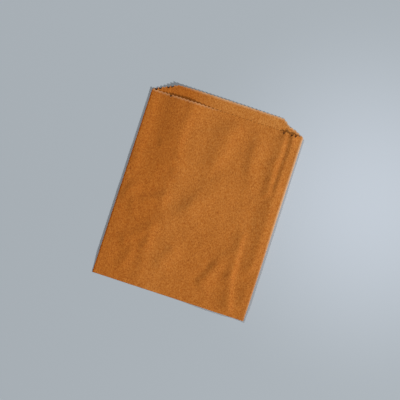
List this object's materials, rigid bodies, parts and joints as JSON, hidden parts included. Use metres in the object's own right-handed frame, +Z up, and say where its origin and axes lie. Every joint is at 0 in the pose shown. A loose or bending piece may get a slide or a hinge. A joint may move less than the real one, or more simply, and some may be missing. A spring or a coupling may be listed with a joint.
{
  "type": "paper bag",
  "caption": "Empty flat bag of brown kraft paper on its back, with saw-cut edges, a lip with slanted corners behind the mouth, a glued back seam and a folded bottom.",
  "frame": {"origin": "centre of the bag's width and of its length to the lip's tip, at the height of the surface that it lies on", "axes": "+X across the bag, to the right when its front is seen with the mouth up; +Y along the bag from the bottom fold to the mouth; +Z up through both panels, out of the front"},
  "size_m": [0.216, 0.2794, 0.0045],
  "materials": {
    "kraft_paper": "matte"
  },
  "bodies": {
    "root": {"paper_bag": "kraft_paper"}
  },
  "joints": []
}
